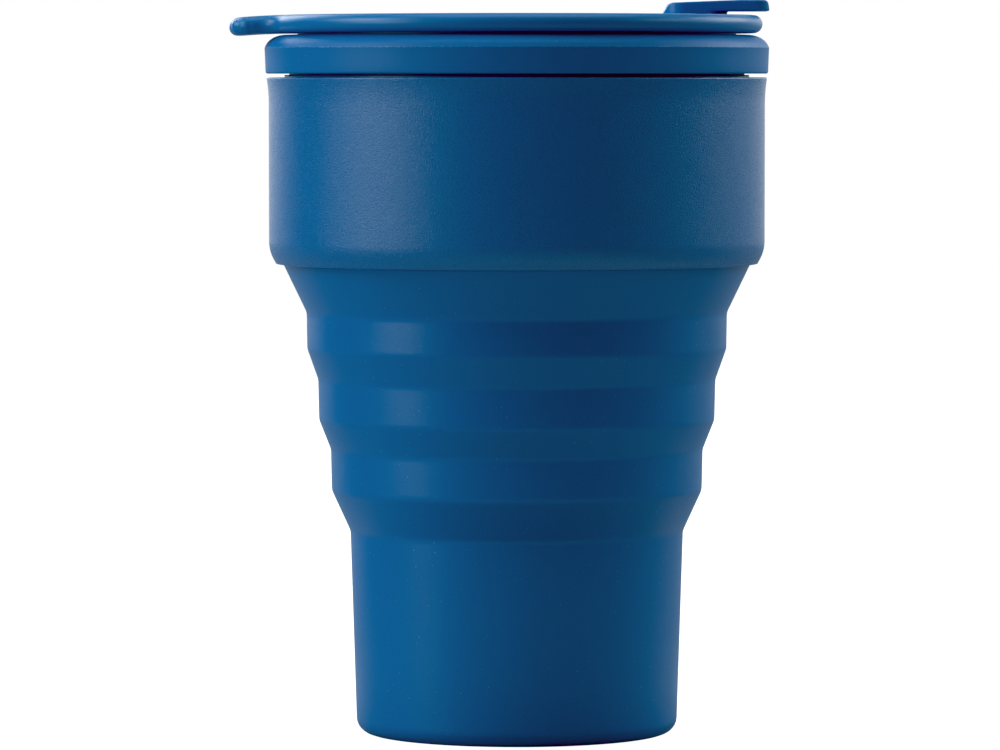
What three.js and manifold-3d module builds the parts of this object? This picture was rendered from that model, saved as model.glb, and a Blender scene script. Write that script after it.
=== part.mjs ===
// Collapsible travel cup: a folding silicone body held in a rigid collar, closed by a press-on sip lid.
//
// Units are millimetres and +Z is up. The origin is the centre of the cup's underside. The cup stands
// open with its lid on and the sip stopper shut. The lid's thumb tab points along -X, and its stopper
// along +X. The silicone wall has upright bands joined by sloping ones. It turns inside out in two
// places, below and above the middle band, so the cup folds down until its base sits inside the collar.

import * as THREE from "three";
import { mergeVertices } from "three/addons/utils/BufferGeometryUtils.js";
import Module from "manifold-3d";

// Fineness of round stretches, and the clearance that touching pieces keep.
const ROUND_STEPS = 48;
const CORNER_STEPS = 4;
const GAP = 0.3;

// Base of the silicone body: a small cup with a thick wall.
const FOOT_RADIUS = 25.9;
const FOOT_CORNER = 2.7;
const BASE_HEIGHT = 36.2;
const BASE_TOP_RADIUS = 29.75;
const BASE_WALL = 2;
const BASE_FLOOR = 2.5;
const FOOT_THICKENING = 0.2;

// Folding wall above the base, from the bottom up. Each band's rise, and how far it flares outwards.
const FOLD_WALL = 1.3;
const SLOPE_1 = { rise: 7.3, flare: 3.35 };
const UPRIGHT_1 = { rise: 7.3, flare: 0.15 };
const SLOPE_2 = { rise: 5.3, flare: 2.1 };
const MIDDLE_BAND = { rise: 7.2, flare: 0.15 };
const SLOPE_3 = { rise: 5.5, flare: 1.95 };
const UPRIGHT_2 = { rise: 6.5, flare: 0.1 };
const SLOPE_4 = { rise: 8.6, flare: 4.15 };

// Silicone liner that carries the collar, and the drinking rim above it.
const LINER_RADIUS = 41.7;
const LINER_BORE = 39.3;
const LINER_TAPER = { above: 4, below: 3 };
const SHOULDER_DROP = 1;
const RIM_RADIUS = 40.6;
const RIM_BORE = 38.7;
const RIM_RISE = 5;
const BEAD_HEIGHT = 3;
const BEAD_DEPTH = 0.6;

// Rigid collar round the liner.
const COLLAR_LIFT = 0.1;
const COLLAR_HEIGHT = 33.2;
const COLLAR_RADIUS = 44.26;
const COLLAR_BORE = 42;
const COLLAR_TOP_RADIUS = 44.65;
const COLLAR_FLARE_HEIGHT = 4.7;
const COLLAR_FOOT_ARC = 7;
const COLLAR_FOOT_RISE = 4.1;
const COLLAR_EDGE = 0.4;

// Seal ring of the lid: a silicone ring with a groove that takes the drinking rim.
const RING_LIFT = 0.65;
const RING_HEIGHT = 6.9;
const RING_RADIUS = 45;
const RING_SHOULDER = { across: 3.8, down: 2.6 };
const RING_GROOVE_OUTER = 40.95;
const RING_GROOVE_INNER = 38.35;
const RING_GROOVE_DEPTH = 4.65;
const RING_SEAT_RADIUS = 39.4;
const RING_SEAT_DEPTH = 0.85;
const RING_BORE = 36.5;
const RING_SLEEVE_DROP = 0.55;

// Lid plate: a disc with a thumb tab, and a neck that plugs into the seal ring.
const PLATE_RADIUS = 43.8;
const PLATE_THICKNESS = 3.2;
const PLATE_LIFT = 0.3;
const TAB_REACH = 51.3;
const TAB_HALF_WIDTH = 9.5;
const TAB_CORNER = 4.4;
const TAB_FILLET = 4.6;
const TAB_DROOP = 0.6;
const HUB_RADIUS = 39.1;
const NECK_RADIUS = 36.2;
const NECK_WALL = 2;
const NECK_DEPTH = 8.2;
const NECK_LIP = 0.4;
const VENT_RADIUS = 0.9;
const VENT_PLACE = -27;
const OUTLINE_STEP = 5;
const CUT_MARGIN = 1;

// Sip stopper, and the strap and button that keep it on the lid.
const SIP_PLACE = 30.45;
const SIP_HALF_LENGTH = 3.45;
const SIP_HALF_WIDTH = 4.7;
const PLUG_DEPTH = 3.9;
const PLUG_TAPER = 0.88;
const BLOCK_START = 25.8;
const BLOCK_END = 37.5;
const BLOCK_WIDTH = 11.4;
const BLOCK_EDGE = 0.5;
const BACK_LEAN = 0.5;
const BACK_ROUND = 1.4;
const STOPPER_REACH = 45;
const STOPPER_RISE = 2.7;
const STOPPER_SLOPE = 0.5;
const STOPPER_FLAT = 4;
const FINGER_SPACE = 0.7;
const FINGER_FILLET = 0.4;
const FINGER_ROUND = 0.9;
const STRAP_THICKNESS = 1.2;
const STRAP_WIDTH = 6.4;
const STRAP_SINK = 0.1;
const STRAP_END = BLOCK_START + 1;
const CHANNEL_DEPTH = 1.6;
const ANCHOR_PLACE = 8;
const ANCHOR_HEAD = 4.9;
const ANCHOR_STEM = 2;
const ANCHOR_BARB = 3.2;
const ANCHOR_DEPTH = 5.6;
const BARB_HEIGHT = 0.6;
const HEAD_EDGE = 0.3;

// Finishes.
const SILICONE_BLUE = 0x155a94;
const COLLAR_BLUE = 0x1a6199;
const LID_BLUE = 0x17609a;

const wasm = await Module();
wasm.setup();

const point = (x, y) => new THREE.Vector2(x, y);

// Points along an elliptical arc, from one angle to another in degrees.
function arc(centreX, centreY, radiusX, radiusY, from, to, steps = CORNER_STEPS) {
  return Array.from({ length: steps + 1 }, (_, i) => {
    const angle = THREE.MathUtils.degToRad(from + ((to - from) * i) / steps);
    return point(centreX + radiusX * Math.cos(angle), centreY + radiusY * Math.sin(angle));
  });
}

// A profile of (radius, height) points turned about the Z axis. The profile runs counter-clockwise.
function turned(profile, steps = ROUND_STEPS) {
  return new THREE.LatheGeometry(profile, steps).rotateX(Math.PI / 2);
}

// A profile that goes all the way round a ring's section and closes on itself.
function ring(profile, steps = ROUND_STEPS) {
  return turned([...profile, profile[0].clone()], steps);
}

function blueMesh(name, geometry, colour, roughness) {
  const mesh = new THREE.Mesh(
    geometry,
    new THREE.MeshStandardMaterial({ color: colour, roughness, metalness: 0 }),
  );
  mesh.name = name;
  return mesh;
}

const silicone = (name, geometry) => blueMesh(name, geometry, SILICONE_BLUE, 0.5);
const hardPlastic = (name, geometry, colour) => blueMesh(name, geometry, colour, 0.42);

function toSolid(geometry) {
  const bare = geometry.clone();
  bare.deleteAttribute("normal");
  bare.deleteAttribute("uv");
  const merged = mergeVertices(bare);
  return new wasm.Manifold(
    new wasm.Mesh({
      numProp: 3,
      vertProperties: merged.attributes.position.array,
      triVerts: new Uint32Array(merged.index.array),
    }),
  );
}

function toGeometry(solid) {
  const mesh = solid.getMesh();
  const geometry = new THREE.BufferGeometry();
  geometry.setAttribute("position", new THREE.BufferAttribute(mesh.vertProperties, 3));
  geometry.setIndex(new THREE.BufferAttribute(mesh.triVerts, 1));
  geometry.computeVertexNormals();
  return geometry;
}

const joined = (...geometries) => geometries.map(toSolid).reduce((a, b) => a.add(b));
const without = (solid, ...cutters) => cutters.map(toSolid).reduce((a, b) => a.subtract(b), solid);

// Levels, worked out from the dimensions above.
const rises = (...bands) => bands.reduce((sum, band) => sum + band.rise, 0);
const flares = (...bands) => bands.reduce((sum, band) => sum + band.flare, 0);
const MIDDLE_Z = BASE_HEIGHT + rises(SLOPE_1, UPRIGHT_1, SLOPE_2);
const MIDDLE_RADIUS = BASE_TOP_RADIUS + flares(SLOPE_1, UPRIGHT_1, SLOPE_2);
const UPPER_Z = MIDDLE_Z + MIDDLE_BAND.rise;
const UPPER_RADIUS = MIDDLE_RADIUS + MIDDLE_BAND.flare;
const LINER_Z = UPPER_Z + rises(SLOPE_3, UPRIGHT_2, SLOPE_4);
const COLLAR_Z = LINER_Z + COLLAR_LIFT;
const COLLAR_TOP_Z = COLLAR_Z + COLLAR_HEIGHT;
const RING_Z = COLLAR_TOP_Z + RING_LIFT;
const RING_TOP_Z = RING_Z + RING_HEIGHT;
const PLATE_Z = RING_TOP_Z + PLATE_LIFT;
const PLATE_TOP_Z = PLATE_Z + PLATE_THICKNESS;
const BEAD_Z = COLLAR_Z + COLLAR_HEIGHT / 2;

// Thick-walled bottom of the cup, with a rounded foot and a slightly widening wall.
function baseCup() {
  const top = BASE_HEIGHT - GAP / 2;
  const boreTop = BASE_TOP_RADIUS - BASE_WALL;
  const boreFoot = FOOT_RADIUS + FOOT_CORNER - BASE_WALL - FOOT_THICKENING;
  const profile = [
    point(0, 0),
    ...arc(FOOT_RADIUS, FOOT_CORNER, FOOT_CORNER, FOOT_CORNER, -90, 0),
    point(BASE_TOP_RADIUS, top),
    point(boreTop, top),
    ...arc(boreFoot - FOOT_CORNER, BASE_FLOOR + FOOT_CORNER, FOOT_CORNER, FOOT_CORNER, 0, -90),
    point(0, BASE_FLOOR),
  ];
  return silicone("base_cup", turned(profile));
}

// A stretch of folding wall: the bands in turn, from the crease at its foot to the crease at its head.
function foldingWall(name, footRadius, footZ, bands) {
  const outer = [point(footRadius, footZ)];
  bands.forEach(({ rise, flare }) => {
    const last = outer[outer.length - 1];
    outer.push(point(last.x + flare, last.y + rise));
  });
  outer[0].y += GAP / 2;
  outer[outer.length - 1].y -= GAP / 2;
  const inner = outer.map(({ x, y }) => point(x - FOLD_WALL, y)).reverse();
  return silicone(name, ring([...outer, ...inner]));
}

// Silicone sleeve inside the collar: a bead holds the collar, and the drinking rim stands above it.
function mouthLiner() {
  const foot = LINER_Z + GAP / 2;
  const shoulder = COLLAR_TOP_Z - SHOULDER_DROP;
  const rimTop = COLLAR_TOP_Z + RIM_RISE;
  const rimRound = (RIM_RADIUS - RIM_BORE) / 2;
  const profile = [
    point(LINER_RADIUS, foot),
    point(LINER_RADIUS, BEAD_Z - BEAD_HEIGHT / 2),
    point(LINER_RADIUS + BEAD_DEPTH, BEAD_Z - BEAD_HEIGHT / 2 + BEAD_DEPTH),
    point(LINER_RADIUS + BEAD_DEPTH, BEAD_Z + BEAD_HEIGHT / 2 - BEAD_DEPTH),
    point(LINER_RADIUS, BEAD_Z + BEAD_HEIGHT / 2),
    point(LINER_RADIUS, shoulder),
    point(RIM_RADIUS, shoulder),
    ...arc(RIM_BORE + rimRound, rimTop - rimRound, rimRound, rimRound, 0, 180),
    point(RIM_BORE, shoulder),
    point(LINER_BORE, shoulder - LINER_TAPER.above),
    point(LINER_BORE, foot + LINER_TAPER.below),
    point(LINER_RADIUS - FOLD_WALL, foot),
  ];
  return silicone("mouth_liner", ring(profile));
}

// Rigid band round the liner, tucked in at its foot and flared at its top, with a groove for the bead.
function collar() {
  const footZ = COLLAR_Z + COLLAR_FOOT_RISE;
  const footAngle = (Math.asin((COLLAR_FOOT_RISE - COLLAR_EDGE) / COLLAR_FOOT_ARC) * 180) / Math.PI;
  const footArc = arc(
    COLLAR_RADIUS - COLLAR_FOOT_ARC, footZ, COLLAR_FOOT_ARC, COLLAR_FOOT_ARC, -footAngle, 0,
  );
  const flareFoot = COLLAR_TOP_Z - COLLAR_FLARE_HEIGHT;
  const grooveLow = BEAD_Z - BEAD_HEIGHT / 2 - GAP;
  const grooveHigh = BEAD_Z + BEAD_HEIGHT / 2 + GAP;
  const profile = [
    point(COLLAR_BORE, COLLAR_Z),
    point(footArc[0].x - COLLAR_EDGE, COLLAR_Z),
    ...footArc,
    point(COLLAR_RADIUS, flareFoot),
    point((COLLAR_RADIUS * 3 + COLLAR_TOP_RADIUS) / 4, COLLAR_TOP_Z - COLLAR_FLARE_HEIGHT / 2),
    ...arc(
      COLLAR_TOP_RADIUS - COLLAR_EDGE, COLLAR_TOP_Z - COLLAR_EDGE, COLLAR_EDGE, COLLAR_EDGE, 0, 90, 2,
    ),
    point(COLLAR_BORE, COLLAR_TOP_Z),
    point(COLLAR_BORE, grooveHigh),
    point(COLLAR_BORE + BEAD_DEPTH, grooveHigh - BEAD_DEPTH),
    point(COLLAR_BORE + BEAD_DEPTH, grooveLow + BEAD_DEPTH),
    point(COLLAR_BORE, grooveLow),
  ];
  return hardPlastic("collar", ring(profile), COLLAR_BLUE);
}

// Silicone ring that seals the lid on the cup. The drinking rim goes up into its groove, and the lid
// plate's neck goes down through its bore.
function sealRing() {
  const { across, down } = RING_SHOULDER;
  const sleeveFoot = RING_Z - RING_SLEEVE_DROP;
  const grooveRoof = RING_Z + RING_GROOVE_DEPTH;
  const seat = RING_TOP_Z - RING_SEAT_DEPTH;
  const profile = [
    point(RING_GROOVE_OUTER, RING_Z),
    ...arc(RING_RADIUS - COLLAR_EDGE, RING_Z + COLLAR_EDGE, COLLAR_EDGE, COLLAR_EDGE, -90, 0, 2),
    ...arc(RING_RADIUS - across, RING_TOP_Z - down, across, down, 0, 90, 6),
    point(RING_SEAT_RADIUS, RING_TOP_Z),
    point(RING_SEAT_RADIUS, seat),
    point(RING_BORE, seat),
    point(RING_BORE, sleeveFoot),
    point(RING_GROOVE_INNER, sleeveFoot),
    point(RING_GROOVE_INNER, grooveRoof),
    point(RING_GROOVE_OUTER, grooveRoof),
  ];
  return silicone("lid_seal_ring", ring(profile));
}

// Plan of the lid plate: a disc that runs through a fillet on each side into the rounded thumb tab.
function plateOutline() {
  const cornerPlace = TAB_REACH - TAB_CORNER;
  const filletPlace = PLATE_RADIUS + TAB_FILLET;
  const cornerTurn = Math.asin((TAB_HALF_WIDTH - TAB_CORNER) / cornerPlace);
  const apart = TAB_CORNER + TAB_FILLET;
  const between = Math.acos(
    (cornerPlace ** 2 + filletPlace ** 2 - apart ** 2) / (2 * cornerPlace * filletPlace),
  );
  const filletTurn = cornerTurn + between;
  const cornerX = -cornerPlace * Math.cos(cornerTurn);
  const cornerY = cornerPlace * Math.sin(cornerTurn);
  const filletX = -filletPlace * Math.cos(filletTurn);
  const filletY = filletPlace * Math.sin(filletTurn);
  const meet = Math.atan2(cornerY - filletY, cornerX - filletX);

  const outline = new THREE.Shape();
  outline.absarc(0, 0, PLATE_RADIUS, filletTurn - Math.PI, Math.PI - filletTurn, false);
  outline.absarc(filletX, filletY, TAB_FILLET, -filletTurn, meet, true);
  outline.absarc(cornerX, cornerY, TAB_CORNER, meet + Math.PI, Math.PI - cornerTurn, false);
  outline.absarc(0, 0, TAB_REACH, Math.PI - cornerTurn, Math.PI + cornerTurn, false);
  outline.absarc(cornerX, -cornerY, TAB_CORNER, Math.PI + cornerTurn, Math.PI - meet, false);
  outline.absarc(filletX, -filletY, TAB_FILLET, -meet, filletTurn, true);
  return outline;
}

// The plate before it is cut, with a fully rounded edge.
function plateGeometry() {
  const half = PLATE_THICKNESS / 2;
  const geometry = new THREE.ExtrudeGeometry(evenOutline(plateOutline()), {
    depth: 0,
    bevelThickness: half,
    bevelSize: half,
    bevelOffset: -half,
    bevelSegments: 4,
  });
  geometry.translate(0, 0, PLATE_Z + half);
  droopTab(geometry);
  return geometry;
}

// The thumb tab bends down a little towards its end.
function droopTab(geometry) {
  const position = geometry.attributes.position;
  for (let i = 0; i < position.count; i++) {
    const along = Math.max(0, -position.getX(i) - HUB_RADIUS) / (TAB_REACH - HUB_RADIUS);
    position.setZ(i, position.getZ(i) - TAB_DROOP * along ** 2);
  }
}

// The outline's points, spaced so that the disc and its corners are equally smooth.
function evenOutline(outline) {
  const points = outline.curves.flatMap((curve) => {
    const steps = Math.max(3, Math.round(curve.getLength() / OUTLINE_STEP));
    return curve.getPoints(steps).slice(0, -1);
  });
  return new THREE.Shape(points);
}

// An upright elliptical plug or hole, narrower at its foot.
function ellipticCylinder(x, halfLength, halfWidth, topZ, depth, taper) {
  const geometry = new THREE.CylinderGeometry(1, taper, depth, 24);
  geometry.rotateX(Math.PI / 2);
  geometry.scale(halfLength, halfWidth, 1);
  geometry.translate(x, 0, topZ - depth / 2);
  return geometry;
}

function block(fromX, toX, width, lowZ, highZ) {
  const geometry = new THREE.BoxGeometry(toX - fromX, width, highZ - lowZ);
  geometry.translate((fromX + toX) / 2, 0, (lowZ + highZ) / 2);
  return geometry;
}

// Disc, hub and neck in one piece. Its top has a channel for the strap, with a round pocket for the
// button at its inner end, a sip hole under the stopper, and a small vent on the other side.
function lidPlate() {
  const hubFoot = PLATE_Z - RING_SEAT_DEPTH + GAP / 2;
  const neckFoot = PLATE_Z - NECK_DEPTH;
  const inside = NECK_RADIUS - NECK_WALL;
  const middle = PLATE_Z + PLATE_THICKNESS / 2;
  const hubAndNeck = ring([
    point(inside, neckFoot),
    point(NECK_RADIUS - NECK_LIP, neckFoot),
    point(NECK_RADIUS, neckFoot + NECK_LIP * 2),
    point(NECK_RADIUS, hubFoot),
    point(HUB_RADIUS, hubFoot),
    point(HUB_RADIUS, middle),
    point(inside, middle),
  ]);
  const above = PLATE_TOP_Z + CUT_MARGIN;
  const channelFloor = PLATE_TOP_Z - CHANNEL_DEPTH;
  const through = PLATE_THICKNESS + 2 * CUT_MARGIN;
  const pocketRadius = ANCHOR_HEAD + GAP;
  const pocket = new THREE.CylinderGeometry(pocketRadius, pocketRadius, above - channelFloor, 32);
  pocket.rotateX(Math.PI / 2).translate(ANCHOR_PLACE, 0, (above + channelFloor) / 2);
  const solid = without(
    joined(plateGeometry(), hubAndNeck),
    block(ANCHOR_PLACE, STRAP_END + GAP, STRAP_WIDTH + 2 * GAP, channelFloor, above),
    pocket,
    ellipticCylinder(ANCHOR_PLACE, ANCHOR_STEM + GAP, ANCHOR_STEM + GAP, above, through, 1),
    ellipticCylinder(SIP_PLACE, SIP_HALF_LENGTH, SIP_HALF_WIDTH, above, through, 1),
    ellipticCylinder(VENT_PLACE, VENT_RADIUS, VENT_RADIUS, above, through, 1),
  );
  return hardPlastic("lid_plate", toGeometry(solid), LID_BLUE);
}

// Side view of the stopper: a low block with a sloping back, and a finger tab that overhangs.
function stopperOutline(footZ) {
  const tabFoot = PLATE_TOP_Z + FINGER_SPACE;
  const top = PLATE_TOP_Z + STOPPER_RISE;
  const backTop = top - STOPPER_SLOPE;
  const end = FINGER_ROUND;
  const back = BACK_ROUND;
  return new THREE.Shape([
    point(BLOCK_START, footZ),
    point(BLOCK_END, footZ),
    point(BLOCK_END, tabFoot - FINGER_FILLET),
    point(BLOCK_END + FINGER_FILLET, tabFoot),
    ...arc(STOPPER_REACH - end, tabFoot + end, end, end, -90, 0, 3),
    ...arc(STOPPER_REACH - end, top - end, end, end, 0, 90, 3),
    point(STOPPER_REACH - STOPPER_FLAT, top),
    ...arc(BLOCK_START + BACK_LEAN + back, backTop - back, back, back, 90, 170, 3),
  ]);
}

// Silicone stopper: the block, its finger tab and the tapered plug that fills the sip hole.
function sipStopper() {
  const footZ = PLATE_TOP_Z + GAP / 2;
  const body = new THREE.ExtrudeGeometry(stopperOutline(footZ), {
    depth: BLOCK_WIDTH - 2 * BLOCK_EDGE,
    bevelThickness: BLOCK_EDGE,
    bevelSize: BLOCK_EDGE,
    bevelOffset: -BLOCK_EDGE,
    bevelSegments: 2,
  });
  body.rotateX(Math.PI / 2).translate(0, BLOCK_WIDTH / 2 - BLOCK_EDGE, 0);
  const plugTop = footZ + CUT_MARGIN;
  const plugLength = PLUG_DEPTH + CUT_MARGIN;
  const plug = ellipticCylinder(
    SIP_PLACE, SIP_HALF_LENGTH - GAP, SIP_HALF_WIDTH - GAP, plugTop, plugLength, PLUG_TAPER,
  );
  return silicone("sip_stopper", toGeometry(joined(body, plug)));
}

// Flat silicone strap in the plate's channel, from the button to the foot of the stopper's block.
function stopperStrap() {
  const top = PLATE_TOP_Z - STRAP_SINK;
  const start = ANCHOR_PLACE + ANCHOR_HEAD + GAP;
  const geometry = block(start, STRAP_END, STRAP_WIDTH, top - STRAP_THICKNESS, top);
  return silicone("stopper_strap", geometry);
}

// Silicone button that holds the strap: a flat head in the pocket, and a barbed stem through the plate.
function stopperAnchor() {
  const top = PLATE_TOP_Z - STRAP_SINK;
  const headFoot = top - STRAP_THICKNESS;
  const barbTop = PLATE_Z - GAP;
  const foot = top - ANCHOR_DEPTH;
  const profile = [
    point(0, foot),
    point(ANCHOR_STEM, foot),
    point(ANCHOR_BARB, barbTop - BARB_HEIGHT),
    point(ANCHOR_BARB, barbTop),
    point(ANCHOR_STEM, barbTop),
    point(ANCHOR_STEM, headFoot),
    point(ANCHOR_HEAD, headFoot),
    point(ANCHOR_HEAD, top - HEAD_EDGE),
    point(ANCHOR_HEAD - HEAD_EDGE, top),
    point(0, top),
  ];
  const geometry = turned(profile, 32).translate(ANCHOR_PLACE, 0, 0);
  return silicone("stopper_anchor", geometry);
}

const cup = new THREE.Group();
cup.add(
  baseCup(),
  foldingWall("lower_fold", BASE_TOP_RADIUS, BASE_HEIGHT, [SLOPE_1, UPRIGHT_1, SLOPE_2]),
  foldingWall("middle_band", MIDDLE_RADIUS, MIDDLE_Z, [MIDDLE_BAND]),
  foldingWall("upper_fold", UPPER_RADIUS, UPPER_Z, [SLOPE_3, UPRIGHT_2, SLOPE_4]),
  mouthLiner(),
  collar(),
);

const lid = new THREE.Group();
lid.add(lidPlate(), sealRing(), stopperAnchor(), stopperStrap(), sipStopper());
cup.add(lid);

export default cup;
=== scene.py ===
# Collapsible travel cup: the fine surfaces, materials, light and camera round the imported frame.
import math

import bmesh
import bpy
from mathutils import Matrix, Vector


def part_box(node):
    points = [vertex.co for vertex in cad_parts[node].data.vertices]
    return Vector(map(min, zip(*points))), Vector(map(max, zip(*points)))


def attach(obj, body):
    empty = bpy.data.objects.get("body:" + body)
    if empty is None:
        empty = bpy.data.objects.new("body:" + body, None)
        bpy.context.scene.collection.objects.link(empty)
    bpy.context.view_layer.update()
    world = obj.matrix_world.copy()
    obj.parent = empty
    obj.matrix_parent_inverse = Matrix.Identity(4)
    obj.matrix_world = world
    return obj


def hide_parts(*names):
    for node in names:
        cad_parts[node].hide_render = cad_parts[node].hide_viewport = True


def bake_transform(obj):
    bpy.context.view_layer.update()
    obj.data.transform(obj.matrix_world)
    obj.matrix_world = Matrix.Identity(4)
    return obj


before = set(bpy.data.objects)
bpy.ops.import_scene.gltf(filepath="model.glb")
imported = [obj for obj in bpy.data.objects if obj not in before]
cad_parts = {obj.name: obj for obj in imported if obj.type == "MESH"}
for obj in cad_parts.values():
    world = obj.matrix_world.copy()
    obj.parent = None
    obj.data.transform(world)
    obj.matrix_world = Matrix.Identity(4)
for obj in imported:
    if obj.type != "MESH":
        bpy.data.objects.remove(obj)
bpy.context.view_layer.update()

MM = 0.001                # the frame is in metres, and the sizes below are in millimetres
AROUND = 224              # facets round a turned piece
FINE = 0.35               # longest step of a profile where the wall folds
CORNER_STEPS = 7

# Silicone body: bands of the folding wall as (rise, flare), from the base up, and wall thicknesses.
FOOT_RADIUS = 25.9
FOOT_CORNER = 2.7
FOOT_GROOVE = 20.6        # inner radius of the shallow groove under the base
BASE_WALL = 2.0
BASE_FLOOR = 2.5
FOLD_WALL = 1.3
LOWER_BANDS = [(7.3, 3.35), (7.3, 0.15), (5.3, 2.1)]
UPPER_BANDS = [(5.5, 1.95), (6.5, 0.1), (8.6, 4.15)]
CREASE_ROUND = 2.4
LINER_BORE = 39.3
SHOULDER_DROP = 1.0
LIP_RADIUS = 41.45
LIP_RISE = 0.42
RIM_BORE = 38.7
RIM_RADIUS = 40.6
BEAD_DEPTH = 0.6
BEAD_HEIGHT = 3.0

# Collar.
COLLAR_RADIUS = 44.26
COLLAR_BORE = 42.0
COLLAR_FOOT_ARC = 7.0
COLLAR_FOOT_RISE = 4.1
COLLAR_FLARE = 4.7

# Lid.
SHOULDER_ACROSS = 3.8
SHOULDER_DOWN = 2.7
PARTING_DOWN = 2.3
RIDGE = 0.03
SEAL_DRAFT = 0.16
SEAT_RADIUS = 39.4
SEAT_DEPTH = 0.85
RING_BORE = 36.5
GROOVE_OUTER = 40.95
GROOVE_INNER = 38.35
GROOVE_DEPTH = 4.65
SLEEVE_DROP = 0.55
RING_HEIGHT = 6.9
PLATE_LIFT = 0.3         # from the ring up to the plate, the shadow gap between them
PLATE_RADIUS = 43.8
TAB_HALF_WIDTH = 9.5
TAB_CORNER = 4.4
TAB_FILLET = 4.6
TAB_DROOP = 0.6
HUB_RADIUS = 39.1
NECK_RADIUS = 36.2
NECK_WALL = 2.0
VENT_RADIUS = 0.9
VENT_PLACE = -27.0
CHANNEL_DEPTH = 1.6
CHANNEL_WIDTH = 7.0
POCKET_RADIUS = 5.2
STEM_HOLE = 2.2
STEM_RADIUS = 2.0
BARB_RADIUS = 3.2
HEAD_HEIGHT = 1.2
SIP_PLACE = 30.45
SIP_HALF_LENGTH = 3.45
SIP_HALF_WIDTH = 4.7
CUT_EDGE = 0.22
FINGER_SPACE = 0.7
STOPPER_SLOPE = 0.5
STOPPER_BACK_CORNER = 4.2
STOPPER_TAB_CORNER = 2.7
MELT_SIZE = 0.12
MELT_ROUNDS = 26
PEDESTAL_START = 33.4
PEDESTAL_END = 37.5
ROOT_LIFT = 0.4


def low(node):
    """Lowest corner of a CAD node, in millimetres."""
    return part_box(node)[0] / MM


def high(node):
    """Highest corner of a CAD node, in millimetres."""
    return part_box(node)[1] / MM


# ---- profiles and meshes ----


def rounded(corners, closed=False):
    """Points of a profile given as (radius, height, rounding) corners, each turned into an arc."""
    points = []
    count = len(corners)
    for i, (x, z, rounding) in enumerate(corners):
        here = Vector((x, z))
        if rounding == 0 or (not closed and i in (0, count - 1)):
            points.append(here)
            continue
        before = Vector(corners[i - 1][:2]) - here
        after = Vector(corners[(i + 1) % count][:2]) - here
        half = before.angle(after) / 2
        reach = min(rounding / math.tan(half), before.length * 0.48, after.length * 0.48)
        start = here + before.normalized() * reach
        end = here + after.normalized() * reach
        centre = here + (before.normalized() + after.normalized()).normalized() * (reach / math.cos(half))
        turn = (start - centre).angle_signed(end - centre)
        steps = max(2, round(CORNER_STEPS * abs(turn) / 1.5))
        for k in range(steps + 1):
            spoke = start - centre
            angle = -turn * k / steps
            points.append(centre + Vector((
                spoke.x * math.cos(angle) - spoke.y * math.sin(angle),
                spoke.x * math.sin(angle) + spoke.y * math.cos(angle),
            )))
    return points


def spaced(points, longest, closed=False):
    """The same profile with no step longer than that."""
    out = []
    pairs = list(zip(points, points[1:] + points[:1])) if closed else list(zip(points, points[1:]))
    for a, b in pairs:
        steps = max(1, math.ceil((b - a).length / longest))
        out += [a.lerp(b, k / steps) for k in range(steps)]
    return out if closed else out + [points[-1]]


def piece(name, mesh_maker, sharp=35):
    """A mesh object made by a function that fills a bmesh in millimetres."""
    bm = bmesh.new()
    mesh_maker(bm)
    bmesh.ops.remove_doubles(bm, verts=bm.verts, dist=1e-4)
    bmesh.ops.recalc_face_normals(bm, faces=bm.faces)
    bmesh.ops.scale(bm, vec=(MM, MM, MM), verts=bm.verts)
    mesh = bpy.data.meshes.new(name)
    bm.to_mesh(mesh)
    bm.free()
    obj = bpy.data.objects.new(name, mesh)
    bpy.context.scene.collection.objects.link(obj)
    smooth(obj, sharp)
    return obj


def smooth(obj, sharp):
    obj.data.polygons.foreach_set("use_smooth", [True] * len(obj.data.polygons))
    obj.data.set_sharp_from_angle(angle=math.radians(sharp))


def turn(bm, points, closed, around=AROUND, centre=(0, 0)):
    """Turns a profile about a vertical line. A closed profile is a ring's section, and an open one starts
    and ends on the line."""
    loops = []
    for p in points:
        if p.x < 1e-6:
            loops.append([bm.verts.new((centre[0], centre[1], p.y))])
            continue
        loops.append([
            bm.verts.new((
                centre[0] + p.x * math.cos(math.tau * k / around),
                centre[1] + p.x * math.sin(math.tau * k / around),
                p.y,
            ))
            for k in range(around)
        ])
    pairs = list(zip(loops, loops[1:] + loops[:1])) if closed else list(zip(loops, loops[1:]))
    for a, b in pairs:
        for k in range(around):
            after = (k + 1) % around
            corners = [a[k % len(a)], a[after % len(a)], b[after % len(b)], b[k % len(b)]]
            face = list(dict.fromkeys(corners))
            if len(face) > 2:
                bm.faces.new(face)


def turned(name, points, closed, sharp=35, around=AROUND, centre=(0, 0)):
    return piece(name, lambda bm: turn(bm, points, closed, around, centre), sharp)


def extruded(bm, outline, low_z, high_z):
    """An upright prism over an outline of (x, y) points."""
    bottom = [bm.verts.new((x, y, low_z)) for x, y in outline]
    top = [bm.verts.new((x, y, high_z)) for x, y in outline]
    bm.faces.new(bottom)
    bm.faces.new(top)
    for k in range(len(outline)):
        bm.faces.new([bottom[k - 1], bottom[k], top[k], top[k - 1]])


def arc(x, y, radius, start, end, steps):
    """Points on an arc, with its angles in radians."""
    angles = [start + (end - start) * k / steps for k in range(steps + 1)]
    return [(x + radius * math.cos(a), y + radius * math.sin(a)) for a in angles]


# ---- silicone body ----


def bands_up(radius, z, bands, rounding):
    """Corners of a folding wall's outer face, above its foot."""
    corners = []
    for rise, flare in bands:
        radius, z = radius + flare, z + rise
        corners.append((radius, z, rounding))
    return corners


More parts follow.
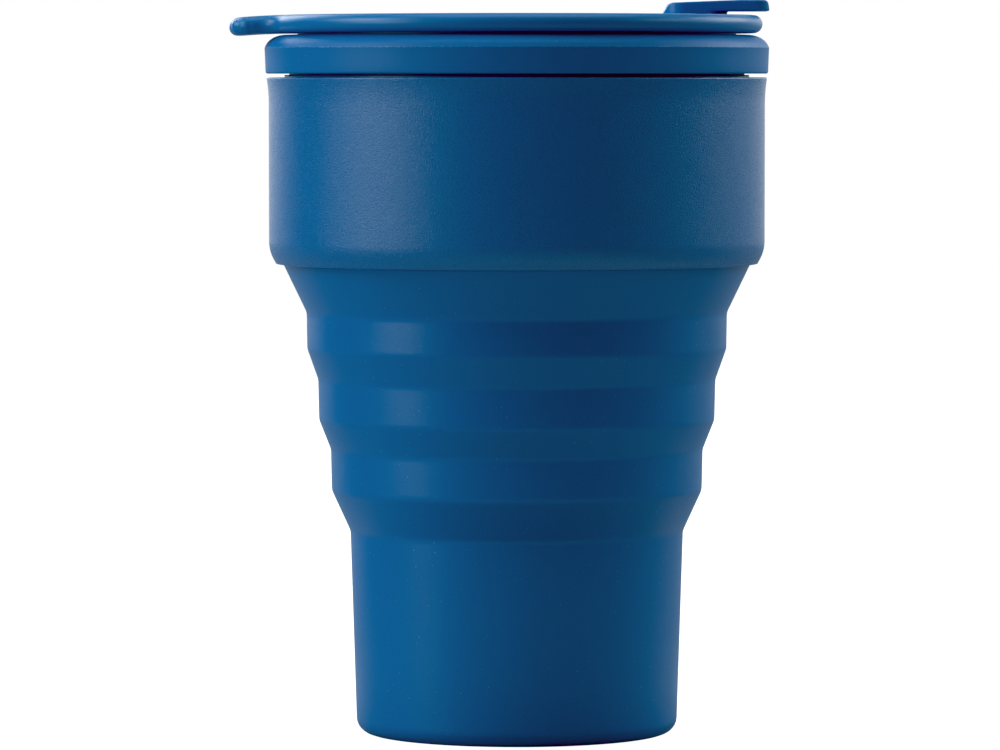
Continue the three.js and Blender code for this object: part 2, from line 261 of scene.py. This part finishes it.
base_top = high("base_cup").x
base_z = low("lower_fold").z - 0.15
middle_z = low("middle_band").z - 0.15
upper_z = high("middle_band").z + 0.15
split_z = (middle_z + upper_z) / 2
lower_corners = bands_up(base_top, base_z, LOWER_BANDS, CREASE_ROUND)
middle_radius = lower_corners[-1][0]
upper_radius = high("middle_band").x
split_radius = (middle_radius + upper_radius) / 2
upper_corners = bands_up(upper_radius, upper_z, UPPER_BANDS, CREASE_ROUND)
liner_radius = upper_corners[-1][0]
liner_z = upper_corners[-1][1]


def inward(corners, wall, rounding):
    """The inner face that goes with an outer one, from the top down."""
    return [(x - wall, z, rounding) for x, z, _ in reversed(corners)]


def body_lower():
    """The base, the lower fold and half of the middle band."""
    outer = [(base_top, base_z, CREASE_ROUND)] + lower_corners
    foot_bore = FOOT_RADIUS + FOOT_CORNER - BASE_WALL - 0.2
    corners = [
        (0, 0, 0),
        (FOOT_GROOVE, 0, 0.3),
        (FOOT_GROOVE + 0.3, 0.35, 0.3),
        (FOOT_GROOVE + 1.5, 0.35, 0.3),
        (FOOT_GROOVE + 1.8, 0, 0.3),
        (FOOT_RADIUS + FOOT_CORNER, 0, FOOT_CORNER),
        *outer,
        (split_radius, split_z, 0),
        (split_radius - FOLD_WALL, split_z, 0),
        *inward(outer[1:], FOLD_WALL, CREASE_ROUND),
        (base_top - FOLD_WALL, base_z + 0.8, 1.0),
        (base_top - BASE_WALL, base_z - 1.2, 1.0),
        (foot_bore, BASE_FLOOR, FOOT_CORNER),
        (0, BASE_FLOOR, 0),
    ]
    return turned("cup_body_lower", spaced(rounded(corners), FINE), closed=False)


def body_upper():
    """Half of the middle band, the upper fold, the liner inside the collar and the drinking rim."""
    outer = [(upper_radius, upper_z, CREASE_ROUND)] + upper_corners
    collar_low, collar_high = low("collar").z, high("collar").z
    bead = (collar_low + collar_high) / 2
    shoulder = collar_high - SHOULDER_DROP
    lip = collar_high + LIP_RISE
    rim = high("mouth_liner").z
    corners = [
        (split_radius, split_z, 0),
        *outer[:-1],
        (liner_radius, liner_z, 1.0),
        (liner_radius, bead - BEAD_HEIGHT / 2, 0.3),
        (liner_radius + BEAD_DEPTH, bead - BEAD_HEIGHT / 2 + BEAD_DEPTH, 0.3),
        (liner_radius + BEAD_DEPTH, bead + BEAD_HEIGHT / 2 - BEAD_DEPTH, 0.3),
        (liner_radius, bead + BEAD_HEIGHT / 2, 0.3),
        (liner_radius, shoulder, 0.25),
        (LIP_RADIUS, shoulder + 0.3, 0.1),
        (LIP_RADIUS, lip, 0.2),
        (RIM_RADIUS, lip, 0.1),
        (RIM_RADIUS, rim, 0.9),
        (RIM_BORE, rim, 0.9),
        (RIM_BORE, shoulder, 4.0),
        (LINER_BORE, shoulder - 4, 4.0),
        (LINER_BORE, liner_z + 3, 3.0),
        *inward(outer, FOLD_WALL, CREASE_ROUND),
        (split_radius - FOLD_WALL, split_z, 0),
    ]
    return turned("cup_body_upper", spaced(rounded(corners, closed=True), FINE, closed=True), closed=True)


# ---- collar ----


def collar():
    bottom, top = low("collar").z, high("collar").z
    mouth = high("collar").x
    arc_z = bottom + COLLAR_FOOT_RISE
    foot = math.asin((COLLAR_FOOT_RISE - 0.35) / COLLAR_FOOT_ARC)
    foot_arc = [
        (x, z, 0) for x, z in arc(COLLAR_RADIUS - COLLAR_FOOT_ARC, arc_z, COLLAR_FOOT_ARC, -foot, 0, 12)
    ]
    flare = [
        (COLLAR_RADIUS + (mouth - COLLAR_RADIUS) * (k / 8) ** 2, top - COLLAR_FLARE * (1 - k / 8), 0)
        for k in range(8)
    ]
    bead = (bottom + top) / 2
    corners = [
        (COLLAR_BORE - 0.15, bottom - 0.1, 0.2),
        (foot_arc[0][0] - 0.1, bottom + 0.02, 0.4),
        *foot_arc,
        *flare,
        (mouth, top, 0.3),
        (COLLAR_BORE, top, 0.3),
        (COLLAR_BORE, bead + BEAD_HEIGHT / 2, 0.3),
        (COLLAR_BORE + BEAD_DEPTH, bead + BEAD_HEIGHT / 2 - BEAD_DEPTH, 0.3),
        (COLLAR_BORE + BEAD_DEPTH, bead - BEAD_HEIGHT / 2 + BEAD_DEPTH, 0.3),
        (COLLAR_BORE, bead - BEAD_HEIGHT / 2, 0.3),
    ]
    return turned("collar_shell", spaced(rounded(corners, closed=True), 1.5, closed=True), closed=True)


# ---- lid ----


def seal_ring():
    bottom, top = low("lid_seal_ring").z + SLEEVE_DROP, high("lid_seal_ring").z
    radius = high("lid_seal_ring").x - RIDGE
    parting = top - PARTING_DOWN
    shoulder_z = top - SHOULDER_DOWN
    shoulder = []
    for k in range(17):
        angle = math.radians(90 * k / 16)
        shoulder.append((
            radius - SHOULDER_ACROSS * (1 - math.cos(angle)),
            shoulder_z + SHOULDER_DOWN * math.sin(angle),
            0,
        ))
    ridge = [
        (radius, parting - 0.3, 0),
        (radius + RIDGE, parting - 0.04, 0),
        (radius + RIDGE, parting + 0.03, 0),
        (radius - 0.01, parting + 0.1, 0),
    ]
    corners = [
        (GROOVE_OUTER, bottom, 0.3),
        (radius - SEAL_DRAFT, bottom, 0.4),
        *ridge,
        *[c for c in shoulder if c[1] > parting + 0.2],
        (SEAT_RADIUS, top, 0.25),
        (SEAT_RADIUS, top - SEAT_DEPTH, 0.2),
        (RING_BORE, top - SEAT_DEPTH, 0.2),
        (RING_BORE, bottom - SLEEVE_DROP, 0.3),
        (GROOVE_INNER, bottom - SLEEVE_DROP, 0.3),
        (GROOVE_INNER, bottom + GROOVE_DEPTH, 0.3),
        (GROOVE_OUTER, bottom + GROOVE_DEPTH, 0.3),
    ]
    return turned("lid_seal", spaced(rounded(corners, closed=True), 1.5, closed=True), closed=True)


plate_low = low("lid_seal_ring").z + SLEEVE_DROP + RING_HEIGHT + PLATE_LIFT
plate_top = high("lid_plate").z
plate_foot = low("lid_plate").z
tab_reach = -low("lid_plate").x


def plate_outline():
    """The disc's edge, run through a fillet on each side into the thumb tab, as (x, y) points."""
    corner_place = tab_reach - TAB_CORNER
    fillet_place = PLATE_RADIUS + TAB_FILLET
    corner_turn = math.asin((TAB_HALF_WIDTH - TAB_CORNER) / corner_place)
    apart = TAB_CORNER + TAB_FILLET
    between = math.acos(
        (corner_place ** 2 + fillet_place ** 2 - apart ** 2) / (2 * corner_place * fillet_place)
    )
    fillet_turn = corner_turn + between
    corner = (-corner_place * math.cos(corner_turn), corner_place * math.sin(corner_turn))
    fillet = (-fillet_place * math.cos(fillet_turn), fillet_place * math.sin(fillet_turn))
    meet = math.atan2(corner[1] - fillet[1], corner[0] - fillet[0])
    pi = math.pi
    upper = (
        arc(0, 0, PLATE_RADIUS, 0, pi - fillet_turn, 120)
        + arc(*fillet, TAB_FILLET, math.tau - fillet_turn, math.tau + meet, 14)[1:]
        + arc(*corner, TAB_CORNER, meet + pi, pi - corner_turn + math.tau, 14)[1:]
        + arc(0, 0, tab_reach, pi - corner_turn, pi, 8)[1:]
    )
    lower = [(x, -y) for x, y in reversed(upper[1:-1])]
    return upper + lower


def outward_normals(outline):
    normals = []
    for k, (x, y) in enumerate(outline):
        ax, ay = outline[k - 1]
        bx, by = outline[(k + 1) % len(outline)]
        along = Vector((bx - ax, by - ay)).normalized()
        normals.append(Vector((along.y, -along.x)))
    return normals


def plate_blank(bm):
    """The plate with its full-round edge, before it is cut."""
    outline = plate_outline()
    normals = outward_normals(outline)
    half = (plate_top - plate_low) / 2
    middle = plate_low + half
    steps = 14
    loops = []
    for k in range(steps + 1):
        angle = math.pi * k / steps
        inset = half * (1 - math.sin(angle))
        z = middle + half * math.cos(angle)
        loop = []
        for (x, y), n in zip(outline, normals):
            loop.append(bm.verts.new((x - n.x * inset, y - n.y * inset, z)))
        loops.append(loop)
    for a, b in zip(loops, loops[1:]):
        for k in range(len(outline)):
            bm.faces.new([a[k - 1], a[k], b[k], b[k - 1]])
    bm.faces.new(loops[0])
    bm.faces.new(loops[-1])
    droop_tab(bm)


def droop_tab(bm):
    """Bends the thumb tab down a little towards its end, a strip at a time, so that the disc stays flat."""
    strips = 10
    reach = tab_reach - HUB_RADIUS
    for k in range(strips):
        everything = bm.verts[:] + bm.edges[:] + bm.faces[:]
        place = (-HUB_RADIUS - reach * k / strips, 0, 0)
        bmesh.ops.bisect_plane(bm, geom=everything, dist=1e-5, plane_co=place, plane_no=(1, 0, 0))
    for vert in bm.verts:
        along = max(0, -vert.co.x - HUB_RADIUS) / reach
        vert.co.z -= TAB_DROOP * along ** 2


def neck_blank(bm):
    hub_foot = plate_low - SEAT_DEPTH + 0.1
    inside = NECK_RADIUS - NECK_WALL
    corners = [
        (inside, plate_foot, 0.4),
        (NECK_RADIUS - 0.4, plate_foot, 0.4),
        (NECK_RADIUS, plate_foot + 0.8, 0.6),
        (NECK_RADIUS, hub_foot, 0.3),
        (HUB_RADIUS, hub_foot, 0.2),
        (HUB_RADIUS, plate_low + 1.5, 0),
        (inside - 0.6, plate_low + 1.5, 0),
        (inside, plate_low, 0.8),
    ]
    turn(bm, rounded(corners, closed=True), closed=True, around=160)


def ellipse(x, half_length, half_width, count=48):
    return [
        (x + half_length * math.cos(math.tau * k / count), half_width * math.sin(math.tau * k / count))
        for k in range(count)
    ]


def slot_outline(start, end, width, corner=0.6):
    half = width / 2
    return (
        arc(start + corner, half - corner, corner, math.pi, math.pi / 2, 4)
        + arc(end - corner, half - corner, corner, math.pi / 2, 0, 4)
        + arc(end - corner, corner - half, corner, 0, -math.pi / 2, 4)
        + arc(start + corner, corner - half, corner, -math.pi / 2, -math.pi, 4)
    )


def changed(obj, kind, **settings):
    """Applies one modifier to the object's mesh."""
    modifier = obj.modifiers.new(kind.lower(), kind)
    for key, value in settings.items():
        setattr(modifier, key, value)
    graph = bpy.context.evaluated_depsgraph_get()
    mesh = bpy.data.meshes.new_from_object(obj.evaluated_get(graph))
    old = obj.data
    obj.modifiers.clear()
    obj.data = mesh
    mesh.name = obj.name
    bpy.data.meshes.remove(old)
    return obj


def cut(obj, tool, operation="DIFFERENCE"):
    changed(obj, "BOOLEAN", object=tool, operation=operation, solver="EXACT")
    mesh = tool.data
    bpy.data.objects.remove(tool)
    bpy.data.meshes.remove(mesh)
    return obj


def lid_plate():
    """The disc with its hub and neck, cut for the strap, the button, the sip hole and the vent."""
    above = plate_top + 1
    below = plate_low - 2
    floor = plate_top - CHANNEL_DEPTH
    anchor = (low("stopper_anchor").x + high("stopper_anchor").x) / 2
    slot_end = high("stopper_strap").x + 0.3
    obj = piece("lid_disc", plate_blank)
    cut(obj, piece("tool", neck_blank), "UNION")
    cutters = [
        (slot_outline(anchor, slot_end, CHANNEL_WIDTH), floor),
        (ellipse(anchor, POCKET_RADIUS, POCKET_RADIUS), floor + 1e-3),
        (ellipse(anchor, STEM_HOLE, STEM_HOLE), below),
        (ellipse(SIP_PLACE, SIP_HALF_LENGTH, SIP_HALF_WIDTH), below),
        (ellipse(VENT_PLACE, VENT_RADIUS, VENT_RADIUS, 24), below),
    ]
    for outline, foot in cutters:
        cut(obj, piece("tool", lambda bm, o=outline, f=foot: extruded(bm, o, f, above)))
    sharp_from = math.radians(50)
    changed(obj, "BEVEL", width=CUT_EDGE * MM, segments=3, limit_method="ANGLE", angle_limit=sharp_from)
    smooth(obj, 40)
    changed(obj, "WEIGHTED_NORMAL", keep_sharp=True)
    return obj


# ---- stopper ----


def stopper_side(foot):
    """Side view of the stopper: a leaning back, a top that rises a little, and a blunt end."""
    back, end, top = low("sip_stopper").x, high("sip_stopper").x, high("sip_stopper").z
    return rounded([
        (back, foot, 0),
        (end, foot, 0),
        (end - 0.15, plate_top + FINGER_SPACE + 0.9, 0),
        (end - 0.45, top, 0.7),
        (end - 5.5, top, 8.0),
        (back + 1.25, top - STOPPER_SLOPE, 1.3),
    ], closed=True)


def stopper_plan():
    """Plan of the stopper, with wider corners at its back than at the end of the tab."""
    back, end, half = low("sip_stopper").x - 0.01, high("sip_stopper").x + 0.01, high("sip_stopper").y
    wide, tight = STOPPER_BACK_CORNER, STOPPER_TAB_CORNER
    quarter = math.pi / 2
    return (
        arc(back + wide, half - wide, wide, 2 * quarter, quarter, 10)
        + arc(end - tight, half - tight, tight, quarter, 0, 8)
        + arc(end - tight, tight - half, tight, 0, -quarter, 8)
        + arc(back + wide, wide - half, wide, -quarter, -2 * quarter, 10)
    )


def finger_gap_plan():
    """Plan of the gap under the finger tab. It ends against the block's rounded end."""
    end, half = high("sip_stopper").x + 2, high("sip_stopper").y
    depth = PEDESTAL_END - PEDESTAL_START
    bend = [
        (PEDESTAL_START + depth * math.cos(a), (half + 0.05) * math.sin(a))
        for a in [math.pi * (k / 24 - 0.5) for k in range(25)]
    ]
    wide = half + 2
    return [(PEDESTAL_START, wide), (end, wide), (end, -wide), (PEDESTAL_START, -wide)] + bend


def plug(bm, top):
    """The tapered plug that fills the sip hole."""
    foot = low("sip_stopper").z
    loops = []
    for half_length, half_width, z in (
        (SIP_HALF_LENGTH - 0.12, SIP_HALF_WIDTH - 0.12, top),
        (SIP_HALF_LENGTH - 0.75, SIP_HALF_WIDTH - 0.85, foot + 0.5),
        (SIP_HALF_LENGTH - 1.15, SIP_HALF_WIDTH - 1.25, foot),
    ):
        loops.append([bm.verts.new((x, y, z)) for x, y in ellipse(SIP_PLACE, half_length, half_width)])
    for a, b in zip(loops, loops[1:]):
        for k in range(len(a)):
            bm.faces.new([a[k - 1], a[k], b[k], b[k - 1]])
    bm.faces.new(loops[0])
    bm.faces.new(loops[-1])


def stopper():
    """The block, its overhanging finger tab and the plug, melted together with soft edges."""
    foot = plate_top + 0.03
    half = high("sip_stopper").y
    ceiling = plate_top + FINGER_SPACE
    side = stopper_side(foot)

    def slab(bm):
        near = [bm.verts.new((p.x, -half, p.y)) for p in side]
        far = [bm.verts.new((p.x, half, p.y)) for p in side]
        bm.faces.new(near)
        bm.faces.new(far)
        for k in range(len(side)):
            bm.faces.new([near[k - 1], near[k], far[k], far[k - 1]])

    obj = piece("sip_stopper_body", slab)
    cut(obj, piece("tool", lambda bm: extruded(bm, stopper_plan(), foot - 1, foot + 5)), "INTERSECT")
    cut(obj, piece("tool", lambda bm: extruded(bm, finger_gap_plan(), foot - 2, ceiling)))
    cut(obj, piece("tool", lambda bm: plug(bm, foot + 1)), "UNION")
    changed(obj, "REMESH", mode="VOXEL", voxel_size=MELT_SIZE * MM)
    changed(obj, "SMOOTH", factor=0.5, iterations=MELT_ROUNDS)
    smooth(obj, 60)
    return obj


def strap():
    """The flat strap in its channel, with rounded edges. Its end lifts into the foot of the block."""
    box_low, box_high = low("stopper_strap"), high("stopper_strap")
    half = box_high.y
    start = high("stopper_anchor").x - 0.4
    end = box_high.x
    section = rounded([
        (-half, box_low.z, 0.35),
        (half, box_low.z, 0.35),
        (half, box_high.z, 0.35),
        (-half, box_high.z, 0.35),
    ], closed=True)
    rows = 48
    root = low("sip_stopper").x + 0.2

    def make(bm):
        loops = []
        for k in range(rows + 1):
            x = start + (end - start) * k / rows
            lift = ROOT_LIFT * min(1, max(0, (x - root) / 0.6))
            loops.append([bm.verts.new((x, p.x, p.y + lift)) for p in section])
        for a, b in zip(loops, loops[1:]):
            for k in range(len(section)):
                bm.faces.new([a[k - 1], a[k], b[k], b[k - 1]])
        bm.faces.new(loops[0])
        bm.faces.new(loops[-1])

    return piece("stopper_strap_band", make)


def anchor_button():
    box_low, box_high = low("stopper_anchor"), high("stopper_anchor")
    centre = ((box_low.x + box_high.x) / 2, 0)
    head = box_high.y
    foot, top = box_low.z, box_high.z
    head_foot = top - HEAD_HEIGHT
    barb = plate_low - 0.15
    corners = [
        (0, foot, 0),
        (STEM_RADIUS, foot, 0.4),
        (BARB_RADIUS, barb - 0.6, 0.3),
        (BARB_RADIUS, barb, 0.2),
        (STEM_RADIUS, barb, 0.1),
        (STEM_RADIUS, head_foot, 0.1),
        (head, head_foot, 0.3),
        (head, top, 0.4),
        (3.2, top, 0.3),
        (2.9, top - 0.35, 0.4),
        (0, top - 0.2, 0),
    ]
    return turned("stopper_button", rounded(corners), closed=False, around=96, centre=centre)


# ---- materials ----


class Nodes:
    """A material's node tree, with short ways to add and join nodes."""

    def __init__(self, name):
        self.material = bpy.data.materials.new(name)
        self.material.use_nodes = True
        self.tree = self.material.node_tree
        self.shader = self.tree.nodes["Principled BSDF"]
        self.place = self.tree.nodes.new("ShaderNodeTexCoord").outputs["Object"]

    def add(self, kind, inputs=None, **settings):
        node = self.tree.nodes.new("ShaderNode" + kind)
        for key, value in settings.items():
            setattr(node, key, value)
        for key, value in (inputs or {}).items():
            if isinstance(value, bpy.types.NodeSocket):
                self.tree.links.new(value, node.inputs[key])
            else:
                node.inputs[key].default_value = value
        return node

    def noise(self, scale, detail=2.0, roughness=0.5):
        return self.add(
            "TexNoise", {"Vector": self.place, "Scale": scale, "Detail": detail, "Roughness": roughness}
        ).outputs["Fac"]

    def range(self, value, low_in, high_in, low_out, high_out):
        return self.add("MapRange", {
            "Value": value, "From Min": low_in, "From Max": high_in, "To Min": low_out, "To Max": high_out,
        }).outputs["Result"]

    def blend(self, factor, first, second):
        node = self.add("Mix", data_type="RGBA")
        for socket, value in ((0, factor), (6, first), (7, second)):
            if isinstance(value, bpy.types.NodeSocket):
                self.tree.links.new(value, node.inputs[socket])
            else:
                node.inputs[socket].default_value = value
        return node.outputs[2]

    def times(self, first, second):
        return self.add("Math", {0: first, 1: second}, operation="MULTIPLY").outputs[0]

    def link(self, value, socket):
        self.tree.links.new(value, self.shader.inputs[socket])


def shade(colour, factor):
    return tuple(min(1, c * factor) for c in colour) + (1,)


def dust(n, share, lines):
    """How dusty a point is: sparse specks all over, and finer ones gathered along level lines, given as
    heights in millimetres."""
    cells = n.add("TexVoronoi", {"Vector": n.place, "Scale": 850, "Randomness": 1.0})
    near = n.range(cells.outputs["Distance"], 0.03, 0.13, 1, 0)
    pick = n.add("SeparateColor", {"Color": cells.outputs["Color"]})
    few = n.range(pick.outputs["Red"], 1 - share, 1 - share + 0.01, 0, 1)
    strength = n.range(pick.outputs["Green"], 0, 1, 0.04, 0.4)
    total = n.times(near, n.times(few, strength))
    for line in lines:
        height = n.add("SeparateXYZ", {0: n.place}).outputs["Z"]
        above = n.add("Math", {0: height, 1: line * MM}, operation="SUBTRACT").outputs[0]
        away = n.add("Math", {0: above}, operation="ABSOLUTE").outputs[0]
        close = n.range(away, 0.05 * MM, 0.16 * MM, 1, 0)
        flecks = n.range(n.noise(2600, 2, 0.6), 0.5, 0.68, 0, 0.3)
        total = n.add("Math", {0: total, 1: n.times(close, flecks)}, operation="MAXIMUM").outputs[0]
    return total


def moulded(name, colour, roughness, ior, grain, depth, specks, tone=0.07, lines=()):
    """Blue moulded plastic or silicone: slight mottling, a fine grain, and sparse pale dust.
    grain is the size of the surface texture in millimetres, depth its height, and tone how much it
    lightens and darkens the colour."""
    n = Nodes(name)
    broad = n.range(n.noise(38, 3, 0.55), 0.3, 0.7, 0, 1)
    mottled = n.blend(broad, shade(colour, 0.95), shade(colour, 1.05))
    grainy = n.noise(1000 / grain, 3, 0.6)
    speckled = n.blend(n.range(grainy, 0.3, 0.7, 0, 1), shade(colour, 1 - tone), shade(colour, 1 + tone))
    both = n.blend(0.5, mottled, speckled)
    n.link(n.blend(dust(n, specks, lines), both, DUST), "Base Color")
    n.link(n.range(grainy, 0.25, 0.75, roughness - 0.06, roughness + 0.06), "Roughness")
    bump = n.add("Bump", {"Strength": 1.0, "Distance": depth * MM, "Height": grainy})
    n.link(bump.outputs["Normal"], "Normal")
    n.shader.inputs["IOR"].default_value = ior
    return n.material


SILICONE = (0.0010, 0.146, 0.425)
COLLAR_BLUE = (0.0010, 0.138, 0.400)
# The lid's own blue, raised above the body's to paint in the light that the disc's edge catches from above
# and the right. The stopper shares it.
LID_BLUE_WITH_PAINTED_LIGHT = (0.0010, 0.165, 0.45)
DUST = (0.42, 0.58, 0.72, 1)
parting_height = high("lid_seal_ring").z - PARTING_DOWN
materials = {
    "body_silicone": moulded("body silicone", SILICONE, 0.35, 1.45, 0.35, 0.022, 0.6, tone=0.1),
    "collar_plastic": moulded(
        "collar plastic", COLLAR_BLUE, 0.30, 1.58, 0.24, 0.085, 0.1, tone=0.2,
        lines=[high("collar").z - 0.1],
    ),
    "lid_plastic": moulded("lid plastic", LID_BLUE_WITH_PAINTED_LIGHT, 0.40, 1.49, 0.6, 0.006, 0.08),
    "seal_silicone": moulded(
        "seal silicone", SILICONE, 0.52, 1.45, 0.5, 0.012, 0.6, lines=[parting_height],
    ),
    "stopper_silicone": moulded("stopper silicone", LID_BLUE_WITH_PAINTED_LIGHT, 0.36, 1.45, 0.5, 0.010, 0.08),
}


def finished(obj, slot):
    obj.data.materials.clear()
    obj.data.materials.append(materials[slot])
    return obj


# ---- the cup ----

lower = finished(body_lower(), "body_silicone")
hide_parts("base_cup", "lower_fold")
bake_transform(lower)

upper = finished(body_upper(), "body_silicone")
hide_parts("middle_band", "upper_fold", "mouth_liner")
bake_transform(upper)

shell = finished(collar(), "collar_plastic")
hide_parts("collar")
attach(shell, "mouth")

seal = finished(seal_ring(), "seal_silicone")
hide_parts("lid_seal_ring")
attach(seal, "lid")

disc = finished(lid_plate(), "lid_plastic")
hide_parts("lid_plate")
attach(disc, "lid")

button = finished(anchor_button(), "stopper_silicone")
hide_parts("stopper_anchor")
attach(button, "lid")

plug_block = finished(stopper(), "stopper_silicone")
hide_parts("sip_stopper")
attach(plug_block, "stopper")

strap_band = finished(strap(), "stopper_silicone")
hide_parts("stopper_strap")
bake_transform(strap_band)


# ---- studio ----


LIGHT_DISTANCE = 1.2
FLOOR_SIZE = 30
FLOOR_GREY = 0.26         # what the floor throws back at the cup
SHEEN = 0.7               # how bright a patch of floor in front of the cup looks in its glossy surfaces
SHEEN_PLACE = (0.02, -0.12, 0)
SHEEN_NEAR = 0.06
SHEEN_FAR = 0.25
SHEEN_CLEAR = (0.05, 0.10)
SURROUND = 0.02
RED_TOE = 0.03
GREEN_TOE = 0.008
BLACK = 0.004


def floor():
    """A wide pale floor. It looks white to the camera and throws little light up at the cup, but a patch in
    front of the cup glows in the cup's glossy surfaces only: a painted reflection.
    """
    bm = bmesh.new()
    bmesh.ops.create_grid(bm, x_segments=8, y_segments=8, size=FLOOR_SIZE)
    mesh = bpy.data.meshes.new("floor")
    bm.to_mesh(mesh)
    bm.free()
    obj = bpy.data.objects.new("floor", mesh)
    bpy.context.scene.collection.objects.link(obj)
    n = Nodes("floor paint")
    n.shader.inputs["Base Color"].default_value = shade((1, 1, 1), FLOOR_GREY)
    n.shader.inputs["Roughness"].default_value = 0.7
    rays = n.add("LightPath")
    away = n.add("VectorMath", {0: n.place, 1: SHEEN_PLACE}, operation="DISTANCE").outputs["Value"]
    out = n.add("VectorMath", {0: n.place}, operation="LENGTH").outputs["Value"]
    patch = n.times(n.range(away, SHEEN_NEAR, SHEEN_FAR, SHEEN, 0), n.range(out, *SHEEN_CLEAR, 0, 1))
    sheen = n.times(rays.outputs["Is Glossy Ray"], patch)
    level = n.add("Math", {0: rays.outputs["Is Camera Ray"], 1: sheen}, operation="ADD").outputs[0]
    glow = n.add("Emission", {"Color": (1, 1, 1, 1), "Strength": level})
    seen = n.add("AddShader", {0: n.shader.outputs[0], 1: glow.outputs[0]})
    n.tree.links.new(seen.outputs[0], n.tree.nodes["Material Output"].inputs["Surface"])
    mesh.materials.append(n.material)
    return obj


def softbox(name, azimuth, low_z, high_z, width, brightness):
    """An upright panel of light round the cup, unseen by the camera. Azimuth 0 is the camera's side, and it
    grows to the camera's right."""
    light = bpy.data.lights.new(name, "AREA")
    light.shape = "RECTANGLE"
    light.size = width
    light.size_y = high_z - low_z
    light.energy = brightness * math.pi * light.size * light.size_y
    turn_to = math.radians(azimuth)
    obj = bpy.data.objects.new(name, light)
    obj.location = (
        LIGHT_DISTANCE * math.sin(turn_to),
        -LIGHT_DISTANCE * math.cos(turn_to),
        (low_z + high_z) / 2,
    )
    obj.rotation_euler = (math.pi / 2, 0, turn_to)
    obj.visible_camera = False
    bpy.context.scene.collection.objects.link(obj)
    return obj


def overhead(height, size, brightness):
    light = bpy.data.lights.new("overhead", "AREA")
    light.shape = "SQUARE"
    light.size = size
    light.energy = brightness * math.pi * size * size
    obj = bpy.data.objects.new("overhead", light)
    obj.location = (0, 0, height)
    obj.visible_camera = False
    bpy.context.scene.collection.objects.link(obj)
    return obj


floor()
softbox("key_high", -81, 0.5, 1.2, 0.55, 8.3)
softbox("key_low", -66, 0.07, 0.38, 0.6, 5.5)
softbox("back_high_left", -150, 0.35, 1.0, 0.43, 5.0)
softbox("back_high_right", 122, 0.35, 1.0, 0.8, 4.7)
softbox("fill_right", 75, 0.4, 1.1, 0.5, 2.6)
softbox("rim_left", -157, 0.03, 0.35, 0.9, 1.1)
softbox("rim_right", 157, 0.03, 0.35, 0.9, 0.9)
softbox("side_low_right", 108, 0.03, 0.35, 0.9, 0.6)
softbox("backdrop", 180, 0.16, 0.9, 1.0, 1.0)
overhead(1.2, 1.2, 1.7)


def surround():
    """White to the camera, and almost no light on the cup."""
    world = bpy.data.worlds.new("studio")
    world.use_nodes = True
    tree = world.node_tree
    background = tree.nodes["Background"]
    background.inputs["Color"].default_value = (1, 1, 1, 1)
    rays = tree.nodes.new("ShaderNodeLightPath")
    level = tree.nodes.new("ShaderNodeMapRange")
    level.inputs["To Min"].default_value = SURROUND
    level.inputs["To Max"].default_value = 1.0
    tree.links.new(rays.outputs["Is Camera Ray"], level.inputs["Value"])
    tree.links.new(level.outputs["Result"], background.inputs["Strength"])
    bpy.context.scene.world = world


def film_response():
    """The picture's tone curves: red and green fall away in the shadows, which keeps the blue deep."""
    view = bpy.context.scene.view_settings
    view.view_transform = "Standard"
    view.use_curve_mapping = True
    curves = view.curve_mapping
    for channel, toe, black in ((0, RED_TOE, BLACK), (1, GREEN_TOE, 0)):
        points = curves.curves[channel].points
        points[0].location = (0, black)
        bend = points.new(toe, black * 1.1)
        bend.handle_type = "VECTOR"
        points[0].handle_type = "VECTOR"
        points[-1].handle_type = "VECTOR"
    curves.update()


surround()
film_response()

LENS = 219.6
SENSOR = 36
CAMERA_DISTANCE = 1.09
CAMERA_HEIGHT = 0.1176
AIM = Vector((-0.003, 0, 0.064))
camera_data = bpy.data.cameras.new("camera")
camera_data.lens = LENS
camera_data.sensor_width = SENSOR
camera_data.clip_end = 200
camera = bpy.data.objects.new("camera", camera_data)
camera.location = (AIM.x, -CAMERA_DISTANCE, CAMERA_HEIGHT)
camera.rotation_euler = (AIM - camera.location).to_track_quat("-Z", "Y").to_euler()
bpy.context.scene.collection.objects.link(camera)
bpy.context.scene.camera = camera
